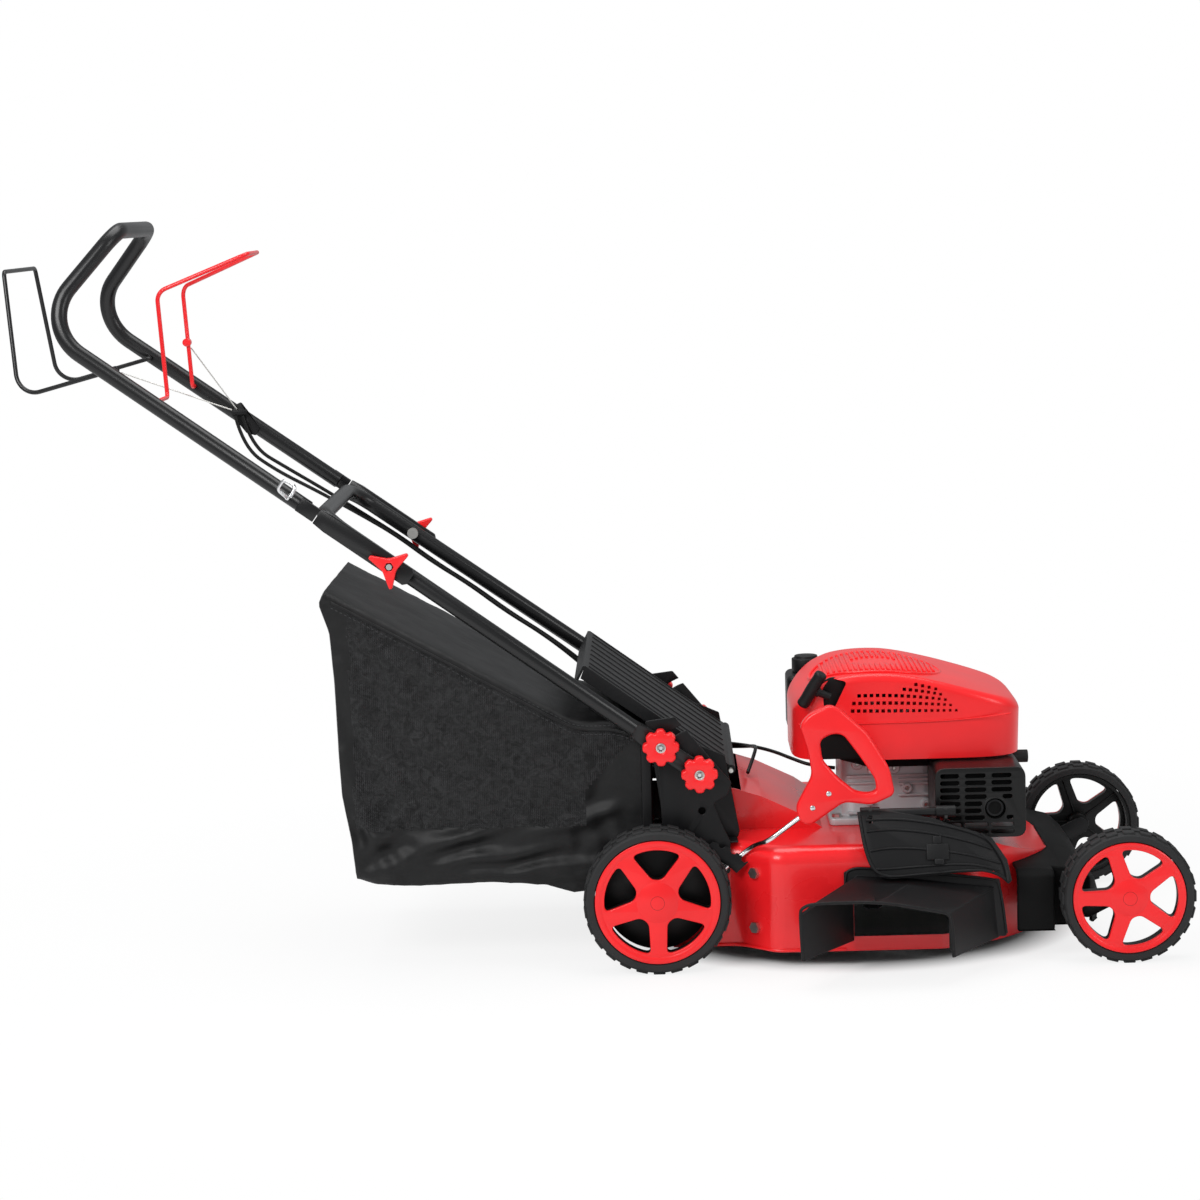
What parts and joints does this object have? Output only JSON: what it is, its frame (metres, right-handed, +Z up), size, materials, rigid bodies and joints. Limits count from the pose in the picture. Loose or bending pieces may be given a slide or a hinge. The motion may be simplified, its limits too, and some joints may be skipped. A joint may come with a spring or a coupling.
{
  "type": "push lawn mower",
  "caption": "Walk-behind petrol lawn mower with a red deck and engine shroud, folding tube handle, grass bag, side chute and height lever.",
  "frame": {"origin": "on the ground under the middle of the machine's bounding box", "axes": "+X forward in the direction of travel, +Y to the mower's left, +Z up"},
  "size_m": [1.5956, 0.601, 1.029],
  "materials": {
    "red_paint": "gloss",
    "black_paint": "satin",
    "bright_steel": "satin",
    "zinc_steel": "satin",
    "cast_aluminium": "rough",
    "cast_iron_grey": "rough",
    "black_plastic": "matt",
    "red_plastic": "gloss",
    "tyre_rubber": "matt",
    "soft_rubber": "matt",
    "bag_cloth": "woven",
    "cable_sheath": "satin"
  },
  "bodies": {
    "chassis": {"deck": "red_paint", "front_cover": "black_plastic", "handle_brackets": "black_paint", "rear_frame": "black_paint", "hinge_rods": "zinc_steel", "discharge_chute": "black_plastic", "height_quadrant": "bright_steel", "gearbox": "cast_aluminium", "drive_belt": "soft_rubber", "crankcase": "cast_aluminium", "cylinder": "cast_aluminium", "blower_housing": "red_plastic", "muffler": "bright_steel", "muffler_guard": "black_paint", "fuel_tank": "black_plastic", "air_filter": "black_plastic", "spark_plug": "soft_rubber", "chassis_bolts": "zinc_steel"},
    "crank": {"crankshaft": "bright_steel", "flywheel": "cast_aluminium", "blade_adapter": "cast_iron_grey", "blade": "bright_steel"},
    "gearbox_drive": {"gearbox_pulley": "cast_iron_grey"},
    "axle_drive": {"drive_shaft": "bright_steel"},
    "recoil": {"recoil_pulley": "black_plastic"},
    "pull_handle": {"starter_handle": "black_plastic"},
    "fuel_lid": {"fuel_cap": "black_plastic"},
    "rear_lift": {"rear_axle": "zinc_steel", "gear_covers": "black_plastic", "height_lever": "zinc_steel", "lever_grip": "red_plastic"},
    "front_lift": {"front_axle": "zinc_steel"},
    "link": {"link_rod": "zinc_steel"},
    "lower_handle_group": {"lower_handle": "black_paint", "handle_bolts": "zinc_steel", "control_cables": "cable_sheath"},
    "upper_handle_group": {"upper_handle": "black_paint", "cable_bracket": "zinc_steel", "rope_guide": "zinc_steel", "bail_wires": "bright_steel"},
    "stop_lever": {"stop_bail": "red_paint"},
    "drive_lever": {"drive_bail": "black_paint"},
    "flap": {"rear_flap": "black_plastic"},
    "chute_door": {"side_door": "black_plastic"},
    "bag": {"bag_fabric": "bag_cloth", "bag_frame": "black_plastic"},
    "wheel_rear_right": {"tyre_rear_right": "tyre_rubber", "rim_rear_right": "red_plastic"},
    "knob_rear_right": {"star_knob_rear_right": "red_plastic"},
    "wheel_front_right": {"tyre_front_right": "tyre_rubber", "rim_front_right": "red_plastic"},
    "knob_front_right": {"star_knob_front_right": "red_plastic"},
    "wing_right": {"wing_knob_right": "red_plastic"},
    "wheel_rear_left": {"tyre_rear_left": "tyre_rubber", "rim_rear_left": "red_plastic"},
    "knob_rear_left": {"star_knob_rear_left": "red_plastic"},
    "wheel_front_left": {"tyre_front_left": "tyre_rubber", "rim_front_left": "red_plastic"},
    "knob_front_left": {"star_knob_front_left": "red_plastic"},
    "wing_left": {"wing_knob_left": "red_plastic"}
  },
  "joints": [
    {"name": "height_lift", "type": "hinge", "parent": "chassis", "child": "rear_lift", "pos_m": [0.12361, 0.0395, 0.075], "axis": [0, -1, 0], "range_deg": [0, 53], "stiffness_Nm_per_rad": 400},
    {"name": "front_lift_pivot", "type": "hinge", "parent": "chassis", "child": "front_lift", "pos_m": [0.65739, 0.0395, 0.065], "axis": [0, 1, 0], "range_deg": [0, 53], "stiffness_Nm_per_rad": 400},
    {"name": "link_pivot", "type": "hinge", "parent": "rear_lift", "child": "link", "pos_m": [0.13253, 0.2395, 0.0929], "axis": [0, 1, 0], "range_deg": [0, 53]},
    {"name": "crank_spin", "type": "hinge", "parent": "chassis", "child": "crank", "pos_m": [0.3805, 0.0395, 0.036], "axis": [0, 0, 1], "continuous": true},
    {"name": "gearbox_spin", "type": "hinge", "parent": "chassis", "child": "gearbox_drive", "pos_m": [0.1585, 0.0395, 0.112], "axis": [0, 0, 1], "continuous": true},
    {"name": "drive_spin", "type": "hinge", "parent": "chassis", "child": "axle_drive", "pos_m": [0.12361, 0.0395, 0.075], "axis": [0, 1, 0], "continuous": true},
    {"name": "starter_pull", "type": "slide", "parent": "chassis", "child": "pull_handle", "axis": [-0.9148, -0.094, 0.3929], "range_m": [0, 0.25], "stiffness_N_per_m": 60},
    {"name": "recoil_spin", "type": "hinge", "parent": "chassis", "child": "recoil", "pos_m": [0.3805, 0.0395, 0.334], "axis": [0, 0, 1], "range_deg": [0, 318.32]},
    {"name": "fuel_cap_turn", "type": "hinge", "parent": "chassis", "child": "fuel_lid", "pos_m": [0.2995, 0.1855, 0.352], "axis": [0, 0, 1], "continuous": true},
    {"name": "lower_fold", "type": "hinge", "parent": "chassis", "child": "lower_handle_group", "pos_m": [0.1349, 0.0395, 0.2664], "axis": [0, -1, 0], "range_deg": [-126, 0], "stiffness_Nm_per_rad": 600, "deforming": ["control_cables"]},
    {"name": "upper_fold", "type": "hinge", "parent": "lower_handle_group", "child": "upper_handle_group", "pos_m": [-0.2735, 0.0395, 0.5617], "axis": [0, 1, 0], "range_deg": [0, 120], "stiffness_Nm_per_rad": 300},
    {"name": "stop_bail_squeeze", "type": "hinge", "parent": "upper_handle_group", "child": "stop_lever", "pos_m": [-0.5865, 0.0395, 0.787], "axis": [0, -1, 0], "range_deg": [0, 38], "stiffness_Nm_per_rad": 3, "deforming": ["bail_wires"]},
    {"name": "drive_bail_squeeze", "type": "hinge", "parent": "upper_handle_group", "child": "drive_lever", "pos_m": [-0.6485, 0.0395, 0.83], "axis": [0, 1, 0], "range_deg": [0, 49], "stiffness_Nm_per_rad": 3, "deforming": ["bail_wires"]},
    {"name": "rear_flap_lift", "type": "hinge", "parent": "chassis", "child": "flap", "pos_m": [0.1785, 0.0395, 0.262], "axis": [0, -1, 0], "range_deg": [-25, 0], "stiffness_Nm_per_rad": 12},
    {"name": "side_door_lift", "type": "hinge", "parent": "chassis", "child": "chute_door", "pos_m": [0.4145, -0.1825, 0.208], "axis": [-1, 0, 0], "range_deg": [0, 40], "stiffness_Nm_per_rad": 2},
    {"name": "bag_lift_off", "type": "slide", "parent": "chassis", "child": "bag", "axis": [-1, 0, 0], "range_m": [0, 0.3], "stiffness_N_per_m": 300},
    {"name": "wheel_rear_right_spin", "type": "hinge", "parent": "rear_lift", "child": "wheel_rear_right", "pos_m": [0.0735, -0.196, 0.1], "axis": [0, 1, 0], "continuous": true},
    {"name": "wheel_front_right_spin", "type": "hinge", "parent": "front_lift", "child": "wheel_front_right", "pos_m": [0.7075, -0.196, 0.09], "axis": [0, 1, 0], "continuous": true},
    {"name": "star_knob_rear_right_turn", "type": "hinge", "parent": "lower_handle_group", "child": "knob_rear_right", "pos_m": [0.0835, -0.1765, 0.3049], "axis": [0, 1, 0], "continuous": true},
    {"name": "star_knob_front_right_turn", "type": "hinge", "parent": "chassis", "child": "knob_front_right", "pos_m": [0.1349, -0.1765, 0.2664], "axis": [0, 1, 0], "continuous": true},
    {"name": "wing_knob_right_turn", "type": "hinge", "parent": "lower_handle_group", "child": "wing_right", "pos_m": [-0.2735, -0.1805, 0.5617], "axis": [0, 1, 0], "continuous": true},
    {"name": "wheel_rear_left_spin", "type": "hinge", "parent": "rear_lift", "child": "wheel_rear_left", "pos_m": [0.0735, 0.275, 0.1], "axis": [0, 1, 0], "continuous": true},
    {"name": "wheel_front_left_spin", "type": "hinge", "parent": "front_lift", "child": "wheel_front_left", "pos_m": [0.7075, 0.275, 0.09], "axis": [0, 1, 0], "continuous": true},
    {"name": "star_knob_rear_left_turn", "type": "hinge", "parent": "lower_handle_group", "child": "knob_rear_left", "pos_m": [0.0835, 0.2555, 0.3049], "axis": [0, 1, 0], "continuous": true},
    {"name": "star_knob_front_left_turn", "type": "hinge", "parent": "chassis", "child": "knob_front_left", "pos_m": [0.1349, 0.2555, 0.2664], "axis": [0, 1, 0], "continuous": true},
    {"name": "wing_knob_left_turn", "type": "hinge", "parent": "lower_handle_group", "child": "wing_left", "pos_m": [-0.2735, 0.2595, 0.5617], "axis": [0, 1, 0], "continuous": true}
  ],
  "couplings": [
    {"joint": "front_lift_pivot", "follows": "height_lift", "ratio": 1},
    {"joint": "link_pivot", "follows": "height_lift", "ratio": 1},
    {"joint": "gearbox_spin", "follows": "crank_spin", "ratio": 0.7},
    {"joint": "recoil_spin", "follows": "starter_pull", "rad_per_m": 22.222}
  ]
}
